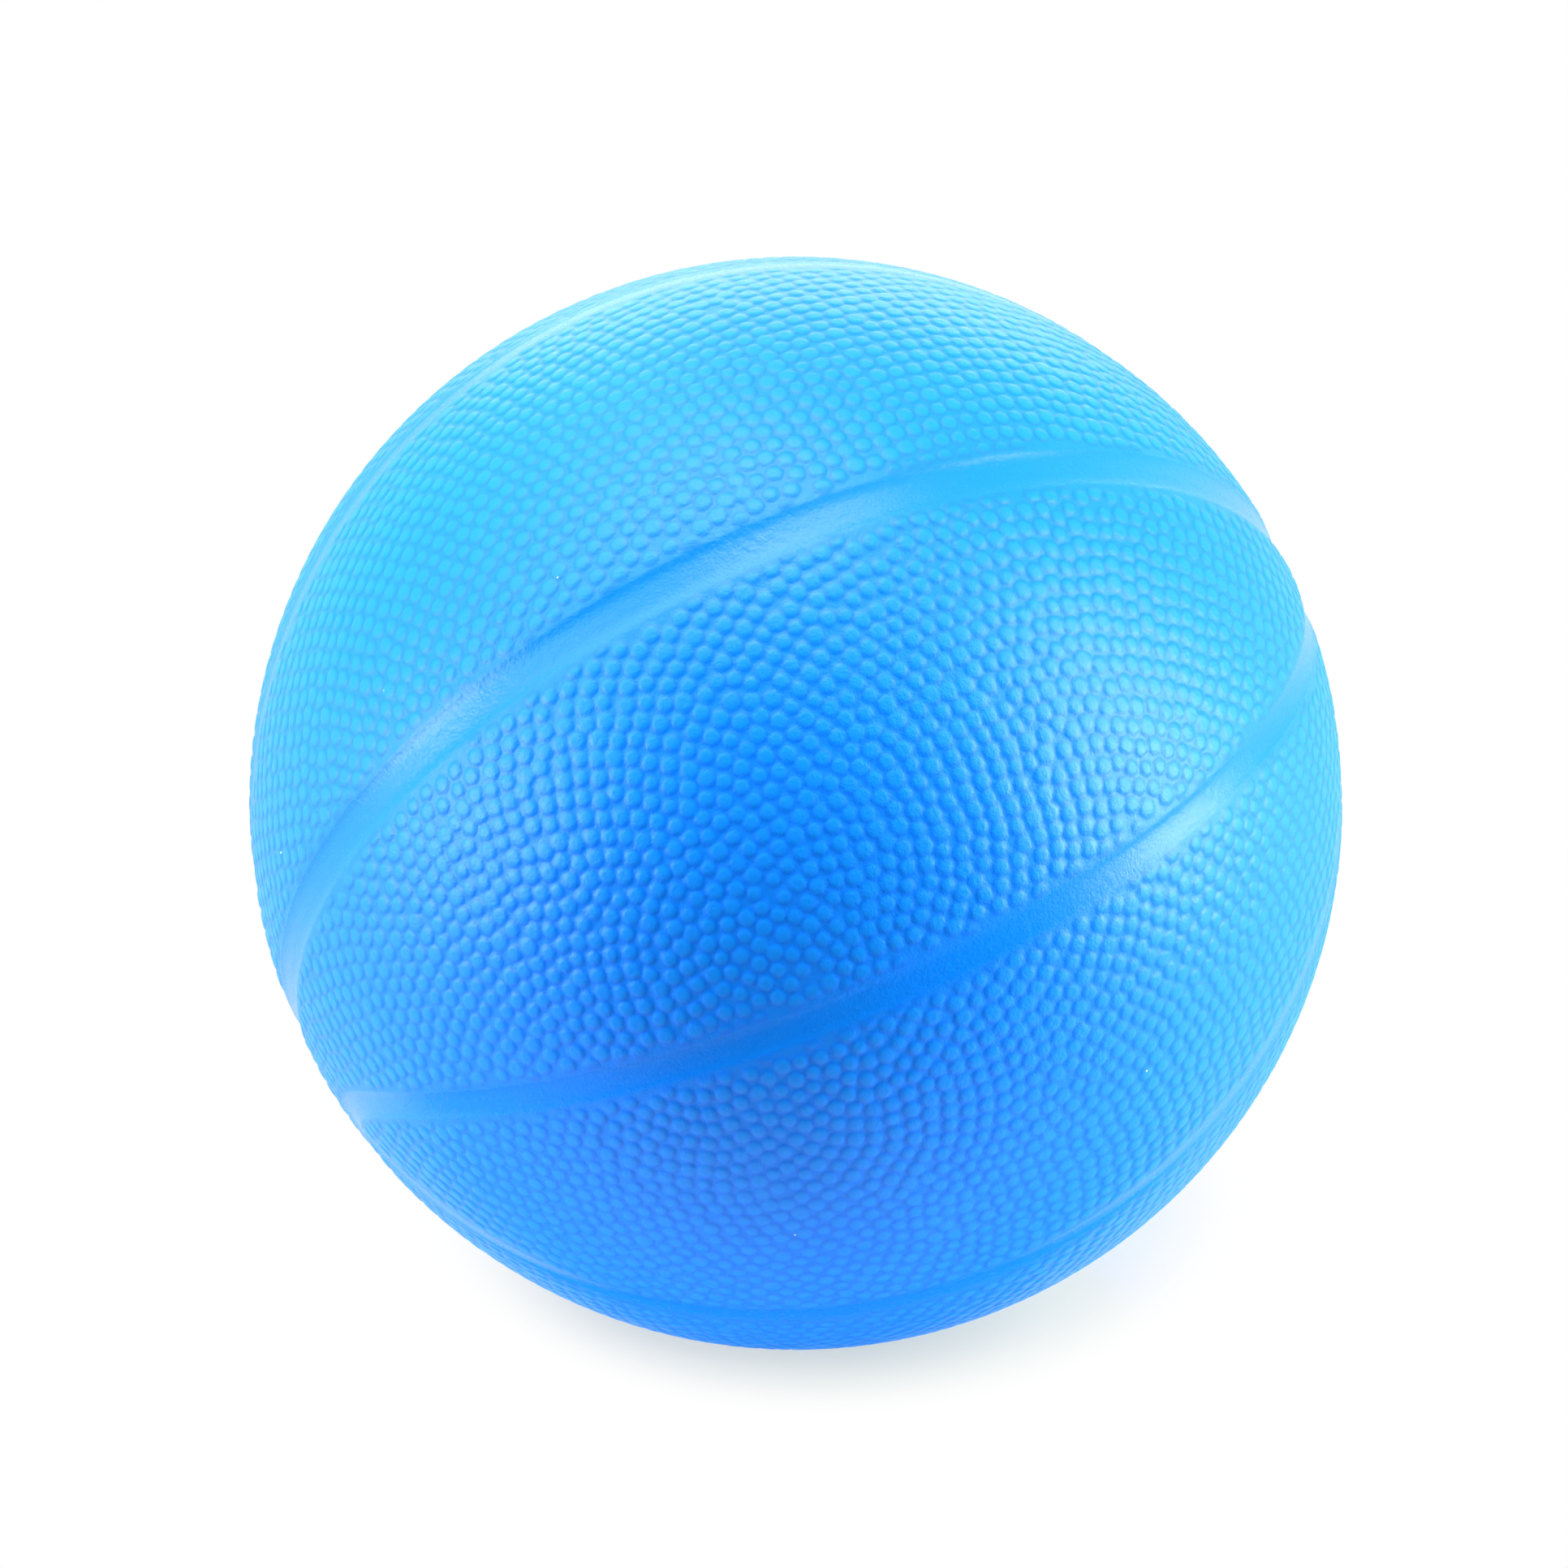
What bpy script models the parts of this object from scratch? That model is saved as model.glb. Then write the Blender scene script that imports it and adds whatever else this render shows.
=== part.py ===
"""Moulded pool basketball: a hollow vinyl ball with sunk channels and a needle valve.

Metres, +Z up. The origin is the ball's centre. The ball stands on its lowest point.
The channels and the valve are laid out in a seam frame that is turned with the ball: its +Z is
the valve's axis, its +X the middle of the main channel and its +Y the middle of the cross channel.
"""
import math

import bmesh
import bpy
from mathutils import Vector

# Ball
BALL_RADIUS = 0.076
WALL = 0.0022
LIE_DEGREES = (-56.9, -54.5, -101.3)

# Channels, each as wide and as deep as its smooth, sunk band
MAIN_WIDTH = 0.0062
MAIN_DEPTH = 0.0011
CROSS_WIDTH = 0.0038
CROSS_DEPTH = 0.0008
LOWER_SIDE_WIDTH = 0.0042
LOWER_SIDE_DEPTH = 0.0009
UPPER_SIDE_WIDTH = 0.0055
UPPER_SIDE_DEPTH = 0.001

# A side channel leaves the valve at this angle from the main channel,
# and turns round the far pole at this angle from it, where it crosses the cross channel
LOWER_SIDE_DEGREES = 46.2
UPPER_SIDE_DEGREES = 47.7
TURN_DEGREES = 12.5

# Round pad at the valve, where all the channels end
PAD_RADIUS = 0.0075
PAD_SLOPE = 0.0012
PAD_STEP = 0.0003

# Boss inside the wall that holds the valve
BOSS_LENGTH = 0.007
BOSS_WALL = 0.0025
BOSS_FOOT = 0.001

# Valve seat: flange outside, stem through the boss, lip behind it
SEAT_FLANGE_RADIUS = 0.0045
SEAT_FLANGE_THICKNESS = 0.001
SEAT_PROUD = 0.0003
SEAT_STEM_RADIUS = 0.0032
SEAT_LIP_OVERHANG = 0.001
SEAT_LIP_THICKNESS = 0.0012

# Valve plug: head flush with the seat, stem in the seat's bore, bulb behind it
PLUG_RADIUS = 0.0017
PLUG_HEAD_OVERHANG = 0.0008
PLUG_HEAD_THICKNESS = 0.0009
PLUG_BULB_OVERHANG = 0.0007
PLUG_BULB_LENGTH = 0.0018
NEEDLE_RADIUS = 0.0007
NEEDLE_DEPTH = 0.0055
NEEDLE_FUNNEL = 0.0004

# Gap between neighbouring pieces, and how far a cutter runs past what it cuts
CLEARANCE = 0.0003
OVERRUN = 0.002

# Facets
BALL_SEGMENTS = 56
CAVITY_SEGMENTS = 32
CHANNEL_SEGMENTS = 64
TUBE_SIDES = 16
TURNED_STEPS = 24
MERGE = 0.00001

# Heights along the valve's axis, from the ball's centre
PAD_HEIGHT = math.sqrt((BALL_RADIUS - MAIN_DEPTH) ** 2 - PAD_RADIUS ** 2) - PAD_STEP
SEAT_HEIGHT = PAD_HEIGHT + SEAT_PROUD
BOSS_HEIGHT = PAD_HEIGHT - BOSS_LENGTH
SEAT_END_HEIGHT = BOSS_HEIGHT - CLEARANCE - SEAT_LIP_THICKNESS

VINYL = ("ball_vinyl", (0.012, 0.27, 0.95), 0.42)
SEAT_RUBBER = ("seat_rubber", (0.01, 0.16, 0.62), 0.5)
PLUG_RUBBER = ("plug_rubber", (0.02, 0.022, 0.026), 0.6)


def clear_scene():
    for thing in list(bpy.data.objects):
        bpy.data.objects.remove(thing, do_unlink=True)


def new_collection(name):
    collection = bpy.data.collections.new(name)
    bpy.context.scene.collection.children.link(collection)
    return collection


def move_to(thing, collection):
    for old in list(thing.users_collection):
        old.objects.unlink(thing)
    collection.objects.link(thing)


def make_material(name, colour, roughness):
    material = bpy.data.materials.new(name)
    material.use_nodes = True
    shader = material.node_tree.nodes["Principled BSDF"]
    shader.inputs["Base Color"].default_value = (*colour, 1)
    shader.inputs["Roughness"].default_value = roughness
    shader.inputs["Metallic"].default_value = 0
    return material


def make_seam_frame(collection):
    """The empty that carries the ball's lie."""
    frame = bpy.data.objects.new("seam_frame", None)
    frame.rotation_euler = [math.radians(turn) for turn in LIE_DEGREES]
    collection.objects.link(frame)
    return frame


def make_sphere(name, radius, segments, collection):
    mesh = bpy.data.meshes.new(name)
    shape = bmesh.new()
    bmesh.ops.create_uvsphere(shape, u_segments=segments, v_segments=segments // 2, radius=radius)
    shape.to_mesh(mesh)
    shape.free()
    mesh.shade_smooth()
    sphere = bpy.data.objects.new(name, mesh)
    collection.objects.link(sphere)
    return sphere


def make_turned(name, profile, closed, collection, frame):
    """A profile of (radius, height) points turned about the seam frame's +Z."""
    mesh = bpy.data.meshes.new(name)
    points = [(radius, 0, height) for radius, height in profile]
    edges = [(i, i + 1) for i in range(len(points) - 1)]
    if closed:
        edges.append((len(points) - 1, 0))
    mesh.from_pydata(points, edges, [])
    piece = bpy.data.objects.new(name, mesh)
    collection.objects.link(piece)
    piece.parent = frame
    screw = piece.modifiers.new("Turn", "SCREW")
    screw.axis = "Z"
    screw.steps = TURNED_STEPS
    screw.render_steps = TURNED_STEPS
    screw.use_merge_vertices = True
    screw.merge_threshold = MERGE
    screw.use_smooth_shade = False
    return piece


def mark_tool(thing):
    """A cutter or an added form: seen as wire, and not part of the ball itself."""
    thing.hide_render = True
    thing.display_type = "WIRE"
    return thing


def combine(piece, tool, operation):
    boolean = piece.modifiers.new(tool.name, "BOOLEAN")
    boolean.operation = operation
    boolean.solver = "EXACT"
    boolean.object = tool


def tube_radius(width, depth):
    """Radius of the round tube that cuts a channel of this width and depth into a flat face."""
    return (width ** 2 / 4 + depth ** 2) / (2 * depth)


def make_ring_cutter(name, width, depth, turn_degrees, collection, frame):
    """A channel along a great circle through both poles."""
    radius = tube_radius(width, depth)
    bpy.ops.mesh.primitive_torus_add(
        major_radius=BALL_RADIUS + radius - depth,
        minor_radius=radius,
        major_segments=CHANNEL_SEGMENTS,
        minor_segments=TUBE_SIDES,
    )
    ring = bpy.context.object
    ring.name = name
    ring.parent = frame
    ring.rotation_euler = [math.radians(turn) for turn in turn_degrees]
    ring.data.shade_smooth()
    move_to(ring, collection)
    return mark_tool(ring)


def side_directions(side_degrees, side):
    """Unit vectors along a side channel: down from the pad, round the far pole and up again.

    side is +1 for the channel on the seam frame's +Y half and -1 for the other.
    """
    lean = math.radians(side_degrees)
    turn = math.radians(TURN_DEGREES)
    pad_end = math.acos(PAD_RADIUS / BALL_RADIUS)
    steps = CHANNEL_SEGMENTS * 4
    down, up, loop = [], [], []
    for i in range(steps):
        rise = pad_end * (1 - i / steps)
        out, height = math.cos(rise), math.sin(rise)
        down.append(Vector((out * math.cos(lean), side * out * math.sin(lean), height)))
        up.append(Vector((-out * math.cos(lean), side * out * math.sin(lean), height)))
    for i in range(steps + 1):
        sweep = math.pi * i / steps
        point = Vector((math.cos(sweep) / math.tan(lean), side, -math.sin(sweep) / math.tan(turn)))
        loop.append(point.normalized())
    return down + loop + up[::-1]


def evenly_spaced(points, count):
    """count points at equal distances along a dense line of points."""
    reach = [0]
    for before, after in zip(points, points[1:]):
        reach.append(reach[-1] + (after - before).length)
    spaced = []
    at = 0
    for i in range(count):
        goal = reach[-1] * i / (count - 1)
        while at < len(points) - 2 and reach[at + 1] < goal:
            at += 1
        share = (goal - reach[at]) / (reach[at + 1] - reach[at])
        spaced.append(points[at].lerp(points[at + 1], share))
    return spaced


def make_side_cutter(name, width, depth, side_degrees, side, collection, frame):
    """A channel from the pad round the far pole and back to the pad, as a closed tube."""
    radius = tube_radius(width, depth)
    path = evenly_spaced(side_directions(side_degrees, side), CHANNEL_SEGMENTS)
    curve = bpy.data.curves.new(name, "CURVE")
    curve.dimensions = "3D"
    curve.bevel_depth = radius
    curve.bevel_resolution = TUBE_SIDES // 2 - 2
    curve.use_fill_caps = True
    spline = curve.splines.new("POLY")
    spline.points.add(len(path) - 1)
    for point, direction in zip(spline.points, path):
        point.co = (*(direction.normalized() * (BALL_RADIUS + radius - depth)), 1)
    line = bpy.data.objects.new(name + "_line", curve)
    collection.objects.link(line)
    line.parent = frame
    bpy.context.view_layer.update()
    seen = line.evaluated_get(bpy.context.evaluated_depsgraph_get())
    mesh = bpy.data.meshes.new_from_object(seen)
    shape = bmesh.new()
    shape.from_mesh(mesh)
    bmesh.ops.remove_doubles(shape, verts=shape.verts, dist=MERGE)
    shape.to_mesh(mesh)
    shape.free()
    mesh.shade_smooth()
    cutter = bpy.data.objects.new(name, mesh)
    collection.objects.link(cutter)
    cutter.matrix_world = line.matrix_world
    bpy.data.objects.remove(line, do_unlink=True)
    return mark_tool(cutter)


def make_boss(collection, frame):
    """Thick tapered collar inside the wall, wider at its foot."""
    inner_radius = SEAT_STEM_RADIUS + CLEARANCE + BOSS_WALL
    foot_radius = PAD_RADIUS + BOSS_FOOT
    pad_edge = math.sqrt(BALL_RADIUS ** 2 - foot_radius ** 2)
    foot_height = (PAD_HEIGHT + pad_edge) / 2
    mesh = bpy.data.meshes.new("valve_boss")
    shape = bmesh.new()
    bmesh.ops.create_cone(
        shape,
        cap_ends=True,
        segments=TURNED_STEPS,
        radius1=inner_radius,
        radius2=foot_radius,
        depth=foot_height - BOSS_HEIGHT,
    )
    shape.to_mesh(mesh)
    shape.free()
    boss = bpy.data.objects.new("valve_boss", mesh)
    collection.objects.link(boss)
    boss.parent = frame
    boss.location = (0, 0, (foot_height + BOSS_HEIGHT) / 2)
    return mark_tool(boss)


def make_pocket_cutter(collection, frame):
    """The pad, the flange's pocket and the stem's hole, as one stepped cutter."""
    top = BALL_RADIUS + OVERRUN
    bottom = BOSS_HEIGHT - OVERRUN
    flange_radius = SEAT_FLANGE_RADIUS + CLEARANCE
    flange_floor = SEAT_HEIGHT - SEAT_FLANGE_THICKNESS - CLEARANCE
    stem_radius = SEAT_STEM_RADIUS + CLEARANCE
    profile = [
        (0, top),
        (PAD_RADIUS + PAD_SLOPE, top),
        (PAD_RADIUS, PAD_HEIGHT),
        (flange_radius, PAD_HEIGHT),
        (flange_radius, flange_floor),
        (stem_radius, flange_floor),
        (stem_radius, bottom),
        (0, bottom),
    ]
    return mark_tool(make_turned("valve_pocket", profile, False, collection, frame))


def make_ball_shell(parts, cutters, frame):
    shell = make_sphere("ball_shell", BALL_RADIUS, BALL_SEGMENTS, parts)
    shell.data.materials.append(make_material(*VINYL))
    cavity = mark_tool(make_sphere("cavity", BALL_RADIUS - WALL, CAVITY_SEGMENTS, cutters))
    combine(shell, cavity, "DIFFERENCE")
    combine(shell, make_boss(cutters, frame), "UNION")
    combine(shell, make_pocket_cutter(cutters, frame), "DIFFERENCE")
    channels = [
        make_ring_cutter("main_channel", MAIN_WIDTH, MAIN_DEPTH, (90, 0, 0), cutters, frame),
        make_ring_cutter("cross_channel", CROSS_WIDTH, CROSS_DEPTH, (0, 90, 0), cutters, frame),
        make_side_cutter(
            "lower_side_channel", LOWER_SIDE_WIDTH, LOWER_SIDE_DEPTH, LOWER_SIDE_DEGREES, 1, cutters, frame
        ),
        make_side_cutter(
            "upper_side_channel", UPPER_SIDE_WIDTH, UPPER_SIDE_DEPTH, UPPER_SIDE_DEGREES, -1, cutters, frame
        ),
    ]
    for channel in channels:
        combine(shell, channel, "DIFFERENCE")
    return shell


def make_valve_seat(parts, frame):
    """Soft flanged collar with a stepped bore for the plug."""
    lip_radius = SEAT_STEM_RADIUS + SEAT_LIP_OVERHANG
    flange_floor = SEAT_HEIGHT - SEAT_FLANGE_THICKNESS
    lip_top = SEAT_END_HEIGHT + SEAT_LIP_THICKNESS
    bore_radius = PLUG_RADIUS + CLEARANCE
    head_radius = PLUG_RADIUS + PLUG_HEAD_OVERHANG + CLEARANCE
    head_floor = SEAT_HEIGHT - PLUG_HEAD_THICKNESS - CLEARANCE
    profile = [
        (head_radius, SEAT_HEIGHT),
        (SEAT_FLANGE_RADIUS, SEAT_HEIGHT),
        (SEAT_FLANGE_RADIUS, flange_floor),
        (SEAT_STEM_RADIUS, flange_floor),
        (SEAT_STEM_RADIUS, lip_top),
        (lip_radius, lip_top),
        (SEAT_STEM_RADIUS, SEAT_END_HEIGHT),
        (bore_radius, SEAT_END_HEIGHT),
        (bore_radius, head_floor),
        (head_radius, head_floor),
    ]
    seat = make_turned("valve_seat", profile, True, parts, frame)
    seat.data.materials.append(make_material(*SEAT_RUBBER))
    return seat


def make_valve_plug(parts, frame):
    """Rubber plug with a blind needle hole that opens in a small funnel."""
    head_radius = PLUG_RADIUS + PLUG_HEAD_OVERHANG
    bulb_radius = PLUG_RADIUS + PLUG_BULB_OVERHANG
    bulb_top = SEAT_END_HEIGHT - CLEARANCE
    bulb_end = bulb_top - PLUG_BULB_LENGTH
    profile = [
        (0, SEAT_HEIGHT - NEEDLE_DEPTH),
        (NEEDLE_RADIUS, SEAT_HEIGHT - NEEDLE_DEPTH + NEEDLE_RADIUS),
        (NEEDLE_RADIUS, SEAT_HEIGHT - NEEDLE_FUNNEL),
        (NEEDLE_RADIUS + NEEDLE_FUNNEL, SEAT_HEIGHT),
        (head_radius, SEAT_HEIGHT),
        (head_radius, SEAT_HEIGHT - PLUG_HEAD_THICKNESS),
        (PLUG_RADIUS, SEAT_HEIGHT - PLUG_HEAD_THICKNESS),
        (PLUG_RADIUS, bulb_top),
        (bulb_radius, bulb_top),
        (bulb_radius, (bulb_top + bulb_end) / 2),
        (PLUG_RADIUS, bulb_end),
        (0, bulb_end),
    ]
    plug = make_turned("valve_plug", profile, False, parts, frame)
    plug.data.materials.append(make_material(*PLUG_RUBBER))
    return plug


def main():
    clear_scene()
    parts = new_collection("pool_basketball")
    cutters = new_collection("cutters")
    frame = make_seam_frame(parts)
    make_ball_shell(parts, cutters, frame)
    make_valve_seat(parts, frame)
    make_valve_plug(parts, frame)
    bpy.context.view_layer.update()


main()
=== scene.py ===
import math

import bpy
import numpy as np
from mathutils import Matrix, Vector, kdtree


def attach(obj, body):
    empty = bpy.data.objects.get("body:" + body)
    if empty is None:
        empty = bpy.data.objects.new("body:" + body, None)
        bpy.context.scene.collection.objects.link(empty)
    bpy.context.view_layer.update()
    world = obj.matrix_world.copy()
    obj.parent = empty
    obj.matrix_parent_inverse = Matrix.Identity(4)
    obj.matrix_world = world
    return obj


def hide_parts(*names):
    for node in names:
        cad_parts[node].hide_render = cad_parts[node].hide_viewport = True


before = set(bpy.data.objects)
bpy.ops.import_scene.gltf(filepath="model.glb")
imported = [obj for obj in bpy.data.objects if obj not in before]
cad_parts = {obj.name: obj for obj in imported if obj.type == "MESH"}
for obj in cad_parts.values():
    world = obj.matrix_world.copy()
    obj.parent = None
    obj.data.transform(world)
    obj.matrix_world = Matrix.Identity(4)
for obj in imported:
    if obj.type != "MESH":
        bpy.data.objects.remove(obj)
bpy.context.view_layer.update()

MM = 0.001

# The ball's own sizes, as in the CAD model
BALL_RADIUS = 0.076
LIE_DEGREES = (-56.9, -54.5, -101.3)
PAD_HEIGHT = 0.0742236
PAD_RADIUS = 0.0075
PAD_WALL = 0.00035
SEAT_PROUD = 0.0003
CLEARANCE = 0.0003

# Each channel: half its width, its depth under the valleys between the pebbles, and how rounded
# its edges are. The main channel's edge on the seam frame's +Y side is more rounded
MAIN = (0.0029, 0.00036, 0.1)
CROSS = (0.0018, 0.00020, 0.12)
LOWER_SIDE = (0.0021, 0.00026, 0.16)
UPPER_SIDE = (0.0024, 0.00029, 0.12)
MAIN_EXTRA_ROUNDING = 0.3
LOWER_SIDE_DEGREES = 46.2
UPPER_SIDE_DEGREES = 47.7
TURN_DEGREES = 12.5

# Pebbles
PEBBLE_PITCH = 0.00250
PITCH_GROWTH = 0.00046
PEBBLE_SHARE = 0.408
PEBBLE_HEIGHT = 0.0002
PEBBLE_FLANK = 0.00033
PATTERN_MIDDLE = (0.6525, 0.7224, -0.229)
PEBBLE_SEED = 7

# Skin mesh: segments round the valve's axis, and rows from the valve to the far pole
SKIN_SEGMENTS = 1400
ROW_STEP = 0.00034

VALVE_SEGMENTS = 96


def seam_matrix():
    turn = [math.radians(t) for t in LIE_DEGREES]
    rot = Matrix.Rotation(turn[2], 3, "Z") @ Matrix.Rotation(turn[1], 3, "Y") @ Matrix.Rotation(turn[0], 3, "X")
    return np.array(rot)


SEAM = seam_matrix()


def to_world(points):
    return points @ SEAM.T


def to_seam(points):
    return points @ SEAM


def smoothstep(t):
    t = np.clip(t, 0, 1)
    return t * t * (3 - 2 * t)


def soft_positive(value, softness):
    """value where it is positive and 0 where it is negative, with a rounded corner."""
    return (value + np.sqrt(value * value + softness * softness)) / 2


def side_distance(u, lean_degrees, side):
    """Distance in metres from each direction to a side channel's middle line."""
    across = math.tan(math.radians(lean_degrees)) ** 2
    along = math.tan(math.radians(TURN_DEGREES)) ** 2
    at = u.copy()
    for _ in range(4):
        low = np.minimum(at[..., 2], 0)
        value = across * at[..., 0] ** 2 + along * low ** 2 - at[..., 1] ** 2
        slope = np.stack([2 * across * at[..., 0], -2 * at[..., 1], 2 * along * low], -1)
        slope -= (slope * at).sum(-1, keepdims=True) * at
        size = np.maximum((slope * slope).sum(-1), 1e-9)
        step = (value / size)[..., None] * slope
        reach = np.linalg.norm(step, axis=-1, keepdims=True)
        at = at - step * np.minimum(1, 0.25 / np.maximum(reach, 1e-9))
        at /= np.linalg.norm(at, axis=-1, keepdims=True)
    gap = 2 * np.arcsin(np.clip(np.linalg.norm(at - u, axis=-1) / 2, 0, 1)) * BALL_RADIUS
    return np.where(side * u[..., 1] > 0, gap, 1.0)


def channel_distances(u):
    """For directions in the seam frame: each channel's distance to its middle line, and its sizes."""
    aside = np.arcsin(np.clip(u[..., 1], -1, 1)) * BALL_RADIUS
    rounding = MAIN[2] + MAIN_EXTRA_ROUNDING * smoothstep(aside / MAIN[0])
    return [
        (np.abs(aside), *MAIN[:2], rounding),
        (np.arcsin(np.clip(np.abs(u[..., 0]), 0, 1)) * BALL_RADIUS, *CROSS),
        (side_distance(u, LOWER_SIDE_DEGREES, 1), *LOWER_SIDE),
        (side_distance(u, UPPER_SIDE_DEGREES, -1), *UPPER_SIDE),
    ]


def edge_distance(u, channels):
    """Distance from the nearest channel's edge or the pad's edge, negative inside."""
    gap = np.full(u.shape[:-1], 1.0)
    for distance, half_width, _, _ in channels:
        gap = np.minimum(gap, distance - half_width)
    out = np.hypot(u[..., 0], u[..., 1]) * BALL_RADIUS
    at_pad = np.where(u[..., 2] > 0, out - PAD_RADIUS - PAD_WALL, 1.0)
    return np.minimum(gap, at_pad)


def pitch_at(seeds, middle):
    """Pebble pitch in metres, which grows with the distance from the pattern's middle."""
    away = np.arccos(np.clip(np.abs(seeds @ middle), 0, 1))
    return PEBBLE_PITCH + PITCH_GROWTH * away / (math.pi / 2)


def place_pebbles():
    """Pebble middles as directions in the seam frame, with their radii and heights.

    They are laid like the seeds of a sunflower round the pattern's middle, and pushed apart.
    """
    rng = np.random.default_rng(PEBBLE_SEED)
    middle = np.array(Vector(PATTERN_MIDDLE).normalized())
    polar = np.linspace(0, math.pi, 4001)
    rays = np.stack([np.sin(polar), 0 * polar, np.cos(polar)], -1)
    cell = pitch_at(rays, np.array([0, 0, 1])) ** 2 * math.sqrt(3) / 2
    total = np.cumsum(2 * math.pi * np.sin(polar) * BALL_RADIUS ** 2 / cell) * (polar[1] - polar[0])
    i = np.arange(int(total[-1])) + 0.5
    from_middle = np.interp(i, total, polar)
    turn = i * math.pi * (3 - math.sqrt(5))
    seeds = np.stack([np.sin(from_middle) * np.cos(turn), np.sin(from_middle) * np.sin(turn), np.cos(from_middle)], -1)
    lay = np.array(Vector((0, 0, 1)).rotation_difference(Vector(middle)).to_matrix())
    seeds = seeds @ lay.T
    seeds += rng.normal(0, 0.18 * PEBBLE_PITCH / BALL_RADIUS, seeds.shape)
    seeds /= np.linalg.norm(seeds, axis=1, keepdims=True)
    keep = edge_distance(seeds, channel_distances(seeds)) > 0.0003
    seeds = seeds[keep]
    for _ in range(2):
        tree = kdtree.KDTree(len(seeds))
        for k, seed in enumerate(seeds):
            tree.insert(seed, k)
        tree.balance()
        near = np.array([[n[1] for n in tree.find_n(seed, 8)[1:]] for seed in seeds])
        for _ in range(4):
            pitch = pitch_at(seeds, middle)[:, None, None] / BALL_RADIUS
            away = seeds[:, None, :] - seeds[near]
            gap = np.linalg.norm(away, axis=2, keepdims=True)
            push = np.maximum(pitch * 1.02 - gap, 0) / np.maximum(gap, 1e-6) * away
            seeds = seeds + 0.22 * push.sum(axis=1)
            seeds /= np.linalg.norm(seeds, axis=1, keepdims=True)
    size = PEBBLE_SHARE * pitch_at(seeds, middle) * np.clip(1 + rng.normal(0, 0.075, len(seeds)), 0.8, 1.2)
    lift = np.clip(1 + rng.normal(0, 0.05, len(seeds)), 0.85, 1)
    keep = edge_distance(seeds, channel_distances(seeds)) > 0.0003
    return seeds[keep], size[keep], lift[keep]


def grow_pebbles(polar, turns, u):
    """Share of the pebbles' height at each point of the grid."""
    seeds, sizes, lifts = place_pebbles()
    grown = np.zeros(u.shape[:2])
    step = turns[1] - turns[0]
    for seed, size, lift in zip(seeds, sizes, lifts):
        reach = (size + PEBBLE_FLANK) / BALL_RADIUS
        at = math.acos(max(-1, min(1, seed[2])))
        first, last = np.searchsorted(polar, (at - reach, at + reach))
        if last <= first:
            continue
        half = math.pi if math.sin(at) <= math.sin(reach) else math.asin(math.sin(reach) / math.sin(at))
        span = min(int(half / step) + 2, SKIN_SEGMENTS // 2 - 1)
        middle = int(round(math.atan2(seed[1], seed[0]) / step))
        columns = np.arange(middle - span, middle + span + 1) % SKIN_SEGMENTS
        rows = np.arange(first, last)
        window = np.ix_(rows, columns)
        away = np.linalg.norm(u[window] - seed, axis=-1) * BALL_RADIUS
        flank = 1 - smoothstep((away - size + PEBBLE_FLANK) / (2 * PEBBLE_FLANK))
        dome = lift * flank * (1 - 0.18 * (away / size) ** 2)
        grown[window] = np.maximum(grown[window], dome)
    return grown


def row_angles():
    """Polar angles of the rows outside the valve's pocket, closer together round the pad's wall."""
    inner = [4.95, 5.1, 5.4, 5.8, 6.2, 6.6, 7.0, 7.25, 7.4, 7.48, 7.54, 7.6, 7.66, 7.72, 7.78, 7.85, 7.92, 8.0, 8.1, 8.25, 8.45, 8.7]
    near = np.arcsin(np.array(inner) * MM / BALL_RADIUS)
    start = near[-1] + ROW_STEP / BALL_RADIUS
    count = int((math.pi - start) * BALL_RADIUS / ROW_STEP)
    return np.concatenate([near, np.linspace(start, math.pi, count, endpoint=False)])


def skin_heights(polar, turns, u):
    """Height of the skin over the ball's radius, the pebbles' share of it, and where it is bare of them."""
    channels = channel_distances(u)
    edge = edge_distance(u, channels)
    pebbles = grow_pebbles(polar, turns, u) * smoothstep((edge + 0.0002) / 0.0019)
    sunk = np.zeros(u.shape[:2])
    for distance, half_width, depth, rounding in channels:
        sunk += (depth * soft_positive(1 - (distance / half_width) ** 3, rounding)) ** 4
    heights = (pebbles - 1) * PEBBLE_HEIGHT - sunk ** 0.25
    out = np.sin(polar)[:, None] * BALL_RADIUS
    facing = np.cos(polar)[:, None]
    pad = PAD_HEIGHT / np.maximum(facing, 0.5) - BALL_RADIUS + 0.0022 * np.maximum(out - PAD_RADIUS, 0) / PAD_WALL
    pad = np.where(facing > 0, pad, 1.0)
    lower = (heights + pad - np.sqrt((heights - pad) ** 2 + 0.00008 ** 2)) / 2
    return lower, pebbles, 1 - smoothstep((edge + 0.0004) / 0.0010)


def pocket_profile():
    """(radius, height) points from the pad's floor down into the closed pocket that holds the valve."""
    top = PAD_HEIGHT
    return [
        (0.00488, top - 0.00001), (0.00483, top - 0.00004), (0.0048, top - 0.0001), (0.0048, top - 0.00095),
        (0.00475, top - 0.001), (0.0036, top - 0.001), (0.0035, top - 0.0011), (0.0035, top - 0.0070),
        (0.0046, top - 0.0070), (0.0046, 0.0625),
    ]


def grid_faces(rows, segments, first=0):
    """Quads of a closed grid of rows, each a ring of this many points."""
    row, column = np.meshgrid(np.arange(rows - 1), np.arange(segments), indexing="ij")
    after = (column + 1) % segments
    quads = np.stack([row * segments + column, (row + 1) * segments + column, (row + 1) * segments + after, row * segments + after], -1)
    return quads.reshape(-1, 4) + first


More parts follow.
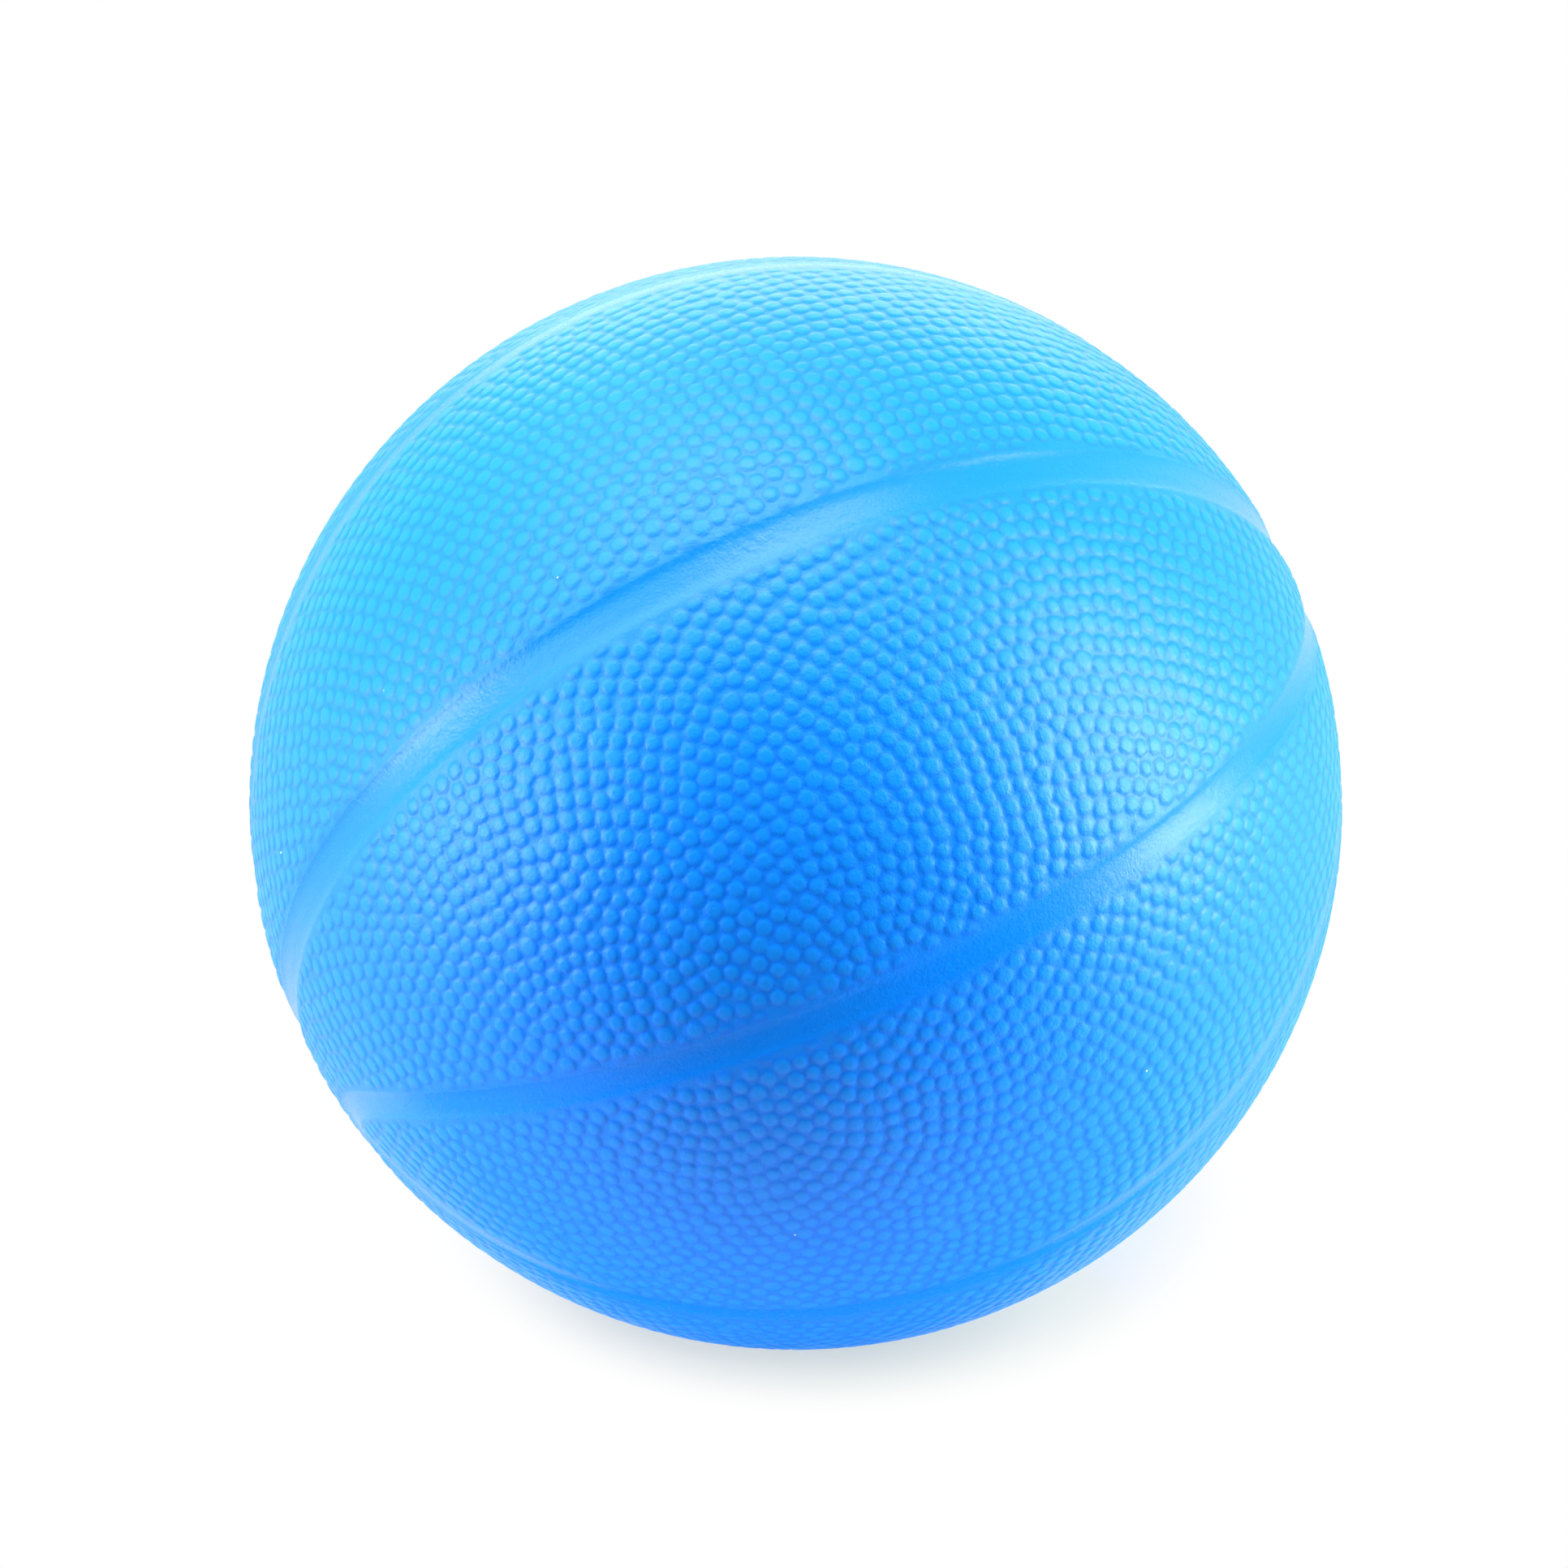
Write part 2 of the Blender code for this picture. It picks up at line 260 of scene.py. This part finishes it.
def mesh_from_grid(name, rings, top, bottom, uv_rows=None):
    """A closed mesh from rings of points, closed by one point at each end."""
    rows, segments = rings.shape[:2]
    points = np.concatenate([rings.reshape(-1, 3), [top], [bottom]])
    quads = grid_faces(rows, segments)
    column = np.arange(segments)
    after = (column + 1) % segments
    last = (rows - 1) * segments
    cap_top = np.stack([np.full(segments, rows * segments), column, after], -1)
    cap_bottom = np.stack([np.full(segments, rows * segments + 1), last + after, last + column], -1)
    corners = np.concatenate([quads.ravel(), cap_top.ravel(), cap_bottom.ravel()]).astype(np.int32)
    sizes = np.concatenate([np.full(len(quads), 4), np.full(2 * segments, 3)]).astype(np.int32)
    mesh = bpy.data.meshes.new(name)
    mesh.vertices.add(len(points))
    mesh.vertices.foreach_set("co", points.astype(np.float32).ravel())
    mesh.loops.add(len(corners))
    mesh.loops.foreach_set("vertex_index", corners)
    mesh.polygons.add(len(sizes))
    mesh.polygons.foreach_set("loop_start", np.concatenate([[0], np.cumsum(sizes)[:-1]]).astype(np.int32))
    mesh.update(calc_edges=True)
    mesh.validate()
    mesh.shade_smooth()
    if uv_rows is not None:
        across = np.concatenate([
            np.stack([column, column, column + 1, column + 1], -1)[None].repeat(rows - 1, 0).ravel(),
            np.stack([column + 0.5, column, column + 1], -1).ravel(),
            np.stack([column + 0.5, column + 1, column], -1).ravel(),
        ]) / segments
        up = np.concatenate([
            np.stack([uv_rows[1:-2], uv_rows[2:-1], uv_rows[2:-1], uv_rows[1:-2]], -1)[:, None].repeat(segments, 1).ravel(),
            np.tile([uv_rows[0], uv_rows[1], uv_rows[1]], segments),
            np.tile([uv_rows[-1], uv_rows[-2], uv_rows[-2]], segments),
        ])
        layer = mesh.uv_layers.new(name="OFBake")
        spots = np.stack([0.002 + 0.996 * across, 0.002 + 0.996 * up], -1)
        layer.data.foreach_set("uv", spots.astype(np.float32).ravel())
    thing = bpy.data.objects.new(name, mesh)
    bpy.context.scene.collection.objects.link(thing)
    return thing


def make_skin():
    polar = row_angles()
    turns = np.arange(SKIN_SEGMENTS) * 2 * math.pi / SKIN_SEGMENTS
    u = np.stack([
        np.sin(polar)[:, None] * np.cos(turns),
        np.sin(polar)[:, None] * np.sin(turns),
        np.cos(polar)[:, None] * np.ones(SKIN_SEGMENTS),
    ], -1)
    heights, pebbles, bare = skin_heights(polar, turns, u)
    outside = u * (BALL_RADIUS + heights)[..., None]
    pocket = pocket_profile()[::-1]
    ring = np.stack([np.cos(turns), np.sin(turns), np.zeros(SKIN_SEGMENTS)], -1)
    inside = np.array([ring * radius + [0, 0, height] for radius, height in pocket])
    rings = np.concatenate([inside, outside])
    top = np.array([0, 0, pocket[0][1]])
    bottom = np.array([0, 0, -(BALL_RADIUS + heights[-1].mean())])
    walk = np.linalg.norm(np.diff(np.concatenate([[top[None]], rings[:, :1], [bottom[None]]])[:, 0], axis=0), axis=1)
    reach = np.concatenate([[0], np.cumsum(walk)])
    skin = mesh_from_grid("ball_skin", to_world(rings), to_world(top), to_world(bottom), 1 - reach / reach[-1])
    first = len(pocket) * SKIN_SEGMENTS
    for name, values in (("lift", pebbles), ("bare", bare)):
        spots = np.zeros(len(skin.data.vertices), np.float32)
        spots[first:first + values.size] = values.ravel()
        skin.data.attributes.new(name, "FLOAT", "POINT").data.foreach_set("value", spots)
    return skin


def rounded(profile, sizes, steps=5):
    """A closed profile with its corners rounded: sizes gives each corner's radius."""
    done = []
    count = len(profile)
    for i, (corner, size) in enumerate(zip(profile, sizes)):
        here = np.array(corner)
        before = np.array(profile[i - 1]) - here
        after = np.array(profile[(i + 1) % count]) - here
        size = min(size, 0.45 * np.linalg.norm(before), 0.45 * np.linalg.norm(after))
        if size <= 0:
            done.append(here)
            continue
        a = here + before / np.linalg.norm(before) * size
        b = here + after / np.linalg.norm(after) * size
        for k in range(steps + 1):
            t = k / steps
            done.append((1 - t) ** 2 * a + 2 * t * (1 - t) * here + t * t * b)
    return np.array(done)


def turned(name, profile, open_ends):
    """A closed ring or, with open ends on the axis, a closed body turned about the valve's axis."""
    turns = np.arange(VALVE_SEGMENTS) * 2 * math.pi / VALVE_SEGMENTS
    ring = np.stack([np.cos(turns), np.sin(turns), np.zeros(VALVE_SEGMENTS)], -1)
    points = profile[1:-1] if open_ends else profile
    rings = to_world(np.array([ring * radius + [0, 0, height] for radius, height in points]))
    mesh = bpy.data.meshes.new(name)
    rows = len(points)
    verts = rings.reshape(-1, 3)
    quads = grid_faces(rows, VALVE_SEGMENTS).tolist()
    after = [(k + 1) % VALVE_SEGMENTS for k in range(VALVE_SEGMENTS)]
    last = (rows - 1) * VALVE_SEGMENTS
    if open_ends:
        ends = to_world(np.array([[0, 0, profile[0][1]], [0, 0, profile[-1][1]]]))
        verts = np.concatenate([verts, ends])
        quads += [(len(verts) - 2, k, after[k]) for k in range(VALVE_SEGMENTS)]
        quads += [(len(verts) - 1, last + after[k], last + k) for k in range(VALVE_SEGMENTS)]
    else:
        quads += [(last + k, k, after[k], last + after[k]) for k in range(VALVE_SEGMENTS)]
    mesh.from_pydata(verts.tolist(), [], quads)
    mesh.validate()
    mesh.shade_smooth()
    thing = bpy.data.objects.new(name, mesh)
    bpy.context.scene.collection.objects.link(thing)
    return thing


def make_collar():
    top = PAD_HEIGHT + SEAT_PROUD
    profile = [
        (0.0028, top), (0.0045, top), (0.0045, top - 0.001), (0.0032, top - 0.001), (0.0032, 0.0669236),
        (0.0042, 0.0669236), (0.0032, 0.0657236), (0.002, 0.0657236), (0.002, top - 0.0012), (0.0028, top - 0.0012),
    ]
    sizes = [0.00015, 0.0004, 0.0001, 0.0001, 0.0001, 0.0002, 0.0001, 0.0001, 0.0001, 0.0001]
    return turned("valve_collar", rounded(profile, sizes)[::-1], False)


def make_button():
    top = PAD_HEIGHT + SEAT_PROUD
    profile = [
        (0, top - 0.0055), (0.0007, top - 0.0048), (0.0007, top - 0.0004), (0.0011, top), (0.0025, top),
        (0.0025, top - 0.0009), (0.0017, top - 0.0009), (0.0017, 0.0654236), (0.0024, 0.0654236),
        (0.0024, 0.0645236), (0.0017, 0.0636236), (0, 0.0636236),
    ]
    sizes = [0, 0.0002, 0.0002, 0.0002, 0.0002, 0.0001, 0.0001, 0.0001, 0.0002, 0.0003, 0.0003, 0]
    return turned("valve_button", rounded(profile, sizes), True)


def new_material(name):
    material = bpy.data.materials.new(name)
    material.use_nodes = True
    tree = material.node_tree
    return material, tree, tree.nodes["Principled BSDF"]


def add_node(tree, kind, **values):
    node = tree.nodes.new(kind)
    for key, value in values.items():
        if key in node.inputs:
            node.inputs[key].default_value = value
        else:
            setattr(node, key, value)
    return node


def noise(tree, coordinates, scale, detail, roughness=0.5):
    node = tree.nodes.new("ShaderNodeTexNoise")
    node.inputs["Scale"].default_value = scale
    node.inputs["Detail"].default_value = detail
    node.inputs["Roughness"].default_value = roughness
    tree.links.new(coordinates, node.inputs["Vector"])
    return node


def spread(tree, value, low, high, start, end, kind="LINEAR"):
    """Maps low..high of a value to start..end."""
    node = tree.nodes.new("ShaderNodeMapRange")
    node.interpolation_type = kind
    node.inputs["From Min"].default_value = low
    node.inputs["From Max"].default_value = high
    node.inputs["To Min"].default_value = start
    node.inputs["To Max"].default_value = end
    tree.links.new(value, node.inputs["Value"])
    return node.outputs["Result"]


def blend_colour(tree, factor, first, second):
    node = tree.nodes.new("ShaderNodeMix")
    node.data_type = "RGBA"
    if isinstance(factor, float):
        node.inputs["Factor"].default_value = factor
    else:
        tree.links.new(factor, node.inputs["Factor"])
    for socket, colour in ((node.inputs[6], first), (node.inputs[7], second)):
        if isinstance(colour, tuple):
            socket.default_value = (*colour, 1)
        else:
            tree.links.new(colour, socket)
    return node.outputs[2]


def bump(tree, height, strength, distance, normal=None):
    node = tree.nodes.new("ShaderNodeBump")
    if isinstance(strength, float):
        node.inputs["Strength"].default_value = strength
    else:
        tree.links.new(strength, node.inputs["Strength"])
    node.inputs["Distance"].default_value = distance
    tree.links.new(height, node.inputs["Height"])
    if normal is not None:
        tree.links.new(normal, node.inputs["Normal"])
    return node.outputs["Normal"]


def dust(tree, place):
    """1 on a few specks of dust a third of a millimetre across."""
    cells = tree.nodes.new("ShaderNodeTexVoronoi")
    cells.inputs["Scale"].default_value = 260
    tree.links.new(place, cells.inputs["Vector"])
    lot = tree.nodes.new("ShaderNodeSeparateColor")
    tree.links.new(cells.outputs["Color"], lot.inputs["Color"])
    near = spread(tree, cells.outputs["Distance"], 0.03, 0.05, 1.0, 0.0)
    few = spread(tree, lot.outputs["Red"], 0.95, 0.955, 0.0, 1.0)
    both = tree.nodes.new("ShaderNodeMath")
    both.operation = "MULTIPLY"
    tree.links.new(near, both.inputs[0])
    tree.links.new(few, both.inputs[1])
    return both.outputs[0]


def vinyl_material():
    material, tree, shader = new_material("cast_vinyl")
    place = tree.nodes.new("ShaderNodeTexCoord").outputs["Object"]
    lift = tree.nodes.new("ShaderNodeAttribute")
    lift.attribute_name = "lift"
    bare = tree.nodes.new("ShaderNodeAttribute")
    bare.attribute_name = "bare"
    cloud = noise(tree, place, 22, 3)
    clouded = spread(tree, cloud.outputs["Fac"], 0.3, 0.7, 0.0, 1.0)
    # The colour follows the pebbles' relief. The darker ring at each pebble's foot is painted shade in the creases, and
    # the lighter pebble tops are painted light. The channels and the floors between pebbles take a colour in between,
    # lifted above the creases as painted sheen.
    painted_shade_crease = blend_colour(tree, clouded, (0.0010, 0.194, 0.98), (0.0020, 0.208, 0.99))
    top = blend_colour(tree, clouded, (0.0025, 0.260, 0.99), (0.0035, 0.276, 1.0))
    channel = blend_colour(tree, clouded, (0.0020, 0.228, 0.99), (0.0030, 0.244, 1.0))
    colour = blend_colour(tree, spread(tree, lift.outputs["Fac"], 0.0, 0.25, 0.0, 1.0), channel, painted_shade_crease)
    colour = blend_colour(tree, spread(tree, lift.outputs["Fac"], 0.25, 0.9, 0.0, 1.0), colour, top)
    colour = blend_colour(tree, dust(tree, place), colour, (0.62, 0.72, 0.78))
    tree.links.new(colour, shader.inputs["Base Color"])
    grain = noise(tree, place, 2600, 3, 0.6)
    crinkle = noise(tree, place, 900, 2)
    rough = spread(tree, crinkle.outputs["Fac"], 0.3, 0.7, 0.34, 0.44)
    polish = spread(tree, bare.outputs["Fac"], 0.0, 1.0, 1.0, 0.64)
    smoother = tree.nodes.new("ShaderNodeMath")
    smoother.operation = "MULTIPLY"
    tree.links.new(rough, smoother.inputs[0])
    tree.links.new(polish, smoother.inputs[1])
    tree.links.new(smoother.outputs[0], shader.inputs["Roughness"])
    patches = noise(tree, place, 34, 2)
    worn = spread(tree, patches.outputs["Fac"], 0.5, 0.66, 0.2, 0.55)
    normal = bump(tree, grain.outputs["Fac"], 0.7, 0.00008)
    normal = bump(tree, crinkle.outputs["Fac"], worn, 0.00018, normal)
    tree.links.new(normal, shader.inputs["Normal"])
    shader.inputs["IOR"].default_value = 1.37
    return material


def rubber_material(name, first, second, rough):
    material, tree, shader = new_material(name)
    place = tree.nodes.new("ShaderNodeTexCoord").outputs["Object"]
    cloud = noise(tree, place, 700, 3)
    mixed = blend_colour(tree, spread(tree, cloud.outputs["Fac"], 0.3, 0.7, 0.0, 1.0), first, second)
    tree.links.new(mixed, shader.inputs["Base Color"])
    grain = noise(tree, place, 4200, 2)
    tree.links.new(spread(tree, cloud.outputs["Fac"], 0.3, 0.7, rough - 0.06, rough + 0.06), shader.inputs["Roughness"])
    tree.links.new(bump(tree, grain.outputs["Fac"], 0.4, 0.00005), shader.inputs["Normal"])
    return material


def light_rays(tree):
    """1 for rays that see the background: from the camera, off gloss and through glass."""
    path = tree.nodes.new("ShaderNodeLightPath")
    total = path.outputs["Is Camera Ray"]
    for name in ("Is Glossy Ray", "Is Transmission Ray"):
        node = tree.nodes.new("ShaderNodeMath")
        node.operation = "MAXIMUM"
        tree.links.new(total, node.inputs[0])
        tree.links.new(path.outputs[name], node.inputs[1])
        total = node.outputs[0]
    return total


def distance_from(tree, place, spot):
    """Distance in metres from a spot on the floor."""
    node = tree.nodes.new("ShaderNodeVectorMath")
    node.operation = "DISTANCE"
    node.inputs[1].default_value = (*spot, -BALL_RADIUS)
    tree.links.new(place, node.inputs[0])
    return node.outputs["Value"]


def make_floor():
    mesh = bpy.data.meshes.new("floor")
    size = 6
    z = -BALL_RADIUS
    mesh.from_pydata([(-size, -size, z), (size, -size, z), (size, size, z), (-size, size, z)], [], [(0, 1, 2, 3)])
    floor = bpy.data.objects.new("floor", mesh)
    bpy.context.scene.collection.objects.link(floor)
    material, tree, shader = new_material("pale_floor")
    shader.inputs["Roughness"].default_value = 1
    shader.inputs["Specular IOR Level"].default_value = 0
    glow = tree.nodes.new("ShaderNodeEmission")
    glow.inputs["Color"].default_value = (1, 1, 1, 1)
    glow.inputs["Strength"].default_value = 1
    place = tree.nodes.new("ShaderNodeTexCoord")
    from_shadow = distance_from(tree, place.outputs["Object"], SHADOW_MIDDLE)
    from_front = distance_from(tree, place.outputs["Object"], TINT_MIDDLE)
    clear = spread(tree, from_shadow, *SHADOW_REACH, 0.0, 1.0, "SMOOTHSTEP")
    plain = spread(tree, from_front, *TINT_REACH, 0.0, 1.0, "SMOOTHSTEP")
    # Painted colour against the ball's blue light in its shadow: yellowish near the ball's front, plain pale grey
    # further out.
    tree.links.new(blend_colour(tree, plain, SHADOW_TINT, (0.8, 0.8, 0.8)), shader.inputs["Base Color"])
    share = tree.nodes.new("ShaderNodeMath")
    share.operation = "MULTIPLY"
    tree.links.new(spread(tree, clear, 0.0, 1.0, FLOOR_GLOW, 1.0), share.inputs[1])
    tree.links.new(light_rays(tree), share.inputs[0])
    mix = tree.nodes.new("ShaderNodeMixShader")
    tree.links.new(share.outputs[0], mix.inputs["Fac"])
    tree.links.new(shader.outputs["BSDF"], mix.inputs[1])
    tree.links.new(glow.outputs["Emission"], mix.inputs[2])
    tree.links.new(mix.outputs["Shader"], tree.nodes["Material Output"].inputs["Surface"])
    mesh.materials.append(material)


FLOOR_GLOW = 0.44
# SHADOW_TINT is painted colour: the floor is yellowish in a round zone in front of the ball, to cancel the blue light
# the ball throws into its shadow. TINT_MIDDLE and TINT_REACH place that zone.
SHADOW_TINT = (0.80, 0.75, 0.43)
AMBIENT = 0.12
SHADOW_MIDDLE = (0.005, 0.021)
SHADOW_REACH = (0.043, 0.062)
TINT_MIDDLE = (0.0, -0.035)
TINT_REACH = (0.050, 0.066)


def make_world():
    world = bpy.data.worlds.new("studio")
    bpy.context.scene.world = world
    world.use_nodes = True
    tree = world.node_tree
    seen = tree.nodes["Background"]
    seen.inputs["Color"].default_value = (1, 1, 1, 1)
    seen.inputs["Strength"].default_value = 1
    fill = tree.nodes.new("ShaderNodeBackground")
    fill.inputs["Color"].default_value = (1, 1, 1, 1)
    fill.inputs["Strength"].default_value = AMBIENT
    mix = tree.nodes.new("ShaderNodeMixShader")
    tree.links.new(light_rays(tree), mix.inputs["Fac"])
    tree.links.new(fill.outputs["Background"], mix.inputs[1])
    tree.links.new(seen.outputs["Background"], mix.inputs[2])
    tree.links.new(mix.outputs["Shader"], tree.nodes["World Output"].inputs["Surface"])


def make_softbox(name, place, width, height, radiance):
    """An area light that faces the ball. Its power gives the radiance that a reflection of it shows."""
    data = bpy.data.lights.new(name, "AREA")
    data.shape = "RECTANGLE"
    data.size = width
    data.size_y = height
    data.energy = radiance * math.pi * width * height
    light = bpy.data.objects.new(name, data)
    light.location = place
    light.rotation_euler = (-Vector(place)).to_track_quat("-Z", "Y").to_euler()
    bpy.context.scene.collection.objects.link(light)
    return light


def make_gloss(name, place, width, height, radiance):
    """A softbox that shows in the ball's gloss and doesn't light its colour."""
    make_softbox(name, place, width, height, radiance).visible_diffuse = False


def make_fill(name, place, width, height, radiance):
    """A softbox that lights the ball's colour and doesn't show in its gloss."""
    light = make_softbox(name, place, width, height, radiance)
    light.visible_glossy = False
    return light


def make_under_fill():
    """The light that a bright table top throws up at the underside of the ball."""
    light = make_fill("under_fill", (0, -0.02, -BALL_RADIUS + 0.0004), 0.26, 0.22, 0.65)
    light.rotation_euler = (math.pi, 0, 0)
    light.visible_camera = False


def dark_cloth(name, corners, faces, blocks_light):
    """A black cloth that shows in the ball's gloss, and not to the camera."""
    mesh = bpy.data.meshes.new(name)
    mesh.from_pydata(corners, [], faces)
    cloth = bpy.data.objects.new(name, mesh)
    bpy.context.scene.collection.objects.link(cloth)
    material, _, shader = new_material(name)
    shader.inputs["Base Color"].default_value = (0.02, 0.02, 0.02, 1)
    shader.inputs["Roughness"].default_value = 1
    shader.inputs["Specular IOR Level"].default_value = 0
    mesh.materials.append(material)
    cloth.visible_camera = False
    cloth.visible_diffuse = blocks_light
    cloth.visible_shadow = blocks_light


def make_dark_end():
    """The unlit end of the room behind the camera, which the ball's near side mirrors, and a black mat on the floor
    close to the ball that only the ball's gloss sees: a painted dark reflection that stands in for the shade on the
    floor there.
    """
    low, high = -BALL_RADIUS + 0.0005, 2.0
    near, middle, far = (0.10, -0.035), (0.32, -0.20), (1.6, -1.3)
    # dark_mat is painted shade in the ball's reflection: it lights and shades nothing and only darkens what the lower
    # front of the ball mirrors.
    dark_cloth("dark_mat", [
        (-near[0], near[1], low), (near[0], near[1], low), (middle[0], middle[1], low), (-middle[0], middle[1], low),
    ], [(0, 1, 2, 3)], False)
    dark_cloth("dark_end", [
        (-middle[0], middle[1], low), (middle[0], middle[1], low), (far[0], far[1], low), (-far[0], far[1], low),
        (far[0], far[1], high), (-far[0], far[1], high),
    ], [(0, 1, 2, 3), (3, 2, 4, 5)], True)


def make_camera():
    away, tilt = 11 * BALL_RADIUS, math.radians(30)
    picture, focal, sensor = 1932, 137.5, 36
    pixels = focal / sensor * picture
    right = Vector((1, 0, 0))
    up = Vector((0, math.sin(tilt), math.cos(tilt)))
    ahead = Vector((0, math.cos(tilt), -math.sin(tilt)))
    aim = ahead - right * (980.5 - 966) / pixels + up * (989.5 - 966) / pixels
    data = bpy.data.cameras.new("camera")
    data.lens = focal
    data.sensor_width = sensor
    data.clip_start = 0.05
    data.clip_end = 50
    camera = bpy.data.objects.new("camera", data)
    camera.location = -ahead * away
    camera.rotation_euler = aim.to_track_quat("-Z", "Y").to_euler()
    bpy.context.scene.collection.objects.link(camera)
    bpy.context.scene.camera = camera


make_camera()
bpy.context.scene.view_settings.view_transform = "Standard"
make_world()
make_floor()
make_dark_end()
make_gloss("right_gloss", (0.973, -0.172, 0.156), 0.45, 0.40, 12.0)
make_fill("right_fill", (0.97, -0.13, 0.10), 0.45, 0.40, 19.5)
make_softbox("right_high_box", (0.807, -0.142, 0.574), 0.50, 0.50, 9.0)
make_gloss("left_gloss", (-0.913, -0.351, 0.208), 0.45, 0.40, 9.6)
make_fill("left_fill", (-0.94, -0.20, 0.20), 0.45, 0.40, 8.6)
make_softbox("left_high_box", (-0.754, -0.133, 0.643), 0.50, 0.50, 2.3)
make_softbox("top_box", (0.0, 0.035, 0.999), 0.50, 0.40, 7.4)
make_softbox("top_left_box", (-0.366, 0.211, 0.906), 0.50, 0.50, 2.4)
make_softbox("back_box", (0.0, 0.961, 0.276), 0.90, 0.50, 2.5)
make_fill("high_fill", (-0.42, 0.15, 0.88), 0.8, 0.8, 4.7)
make_fill("low_fill", (-0.95, -0.10, 0.03), 0.6, 0.6, 4.6)
make_under_fill()

skin = make_skin()
skin.data.materials.append(vinyl_material())
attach(skin, "root")
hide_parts("ball_shell")

collar = make_collar()
collar.data.materials.append(rubber_material("collar_rubber", (0.006, 0.13, 0.55), (0.012, 0.17, 0.64), 0.5))
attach(collar, "root")
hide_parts("valve_seat")

button = make_button()
button.data.materials.append(rubber_material("button_rubber", (0.016, 0.018, 0.021), (0.028, 0.029, 0.032), 0.6))
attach(button, "root")
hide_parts("valve_plug")
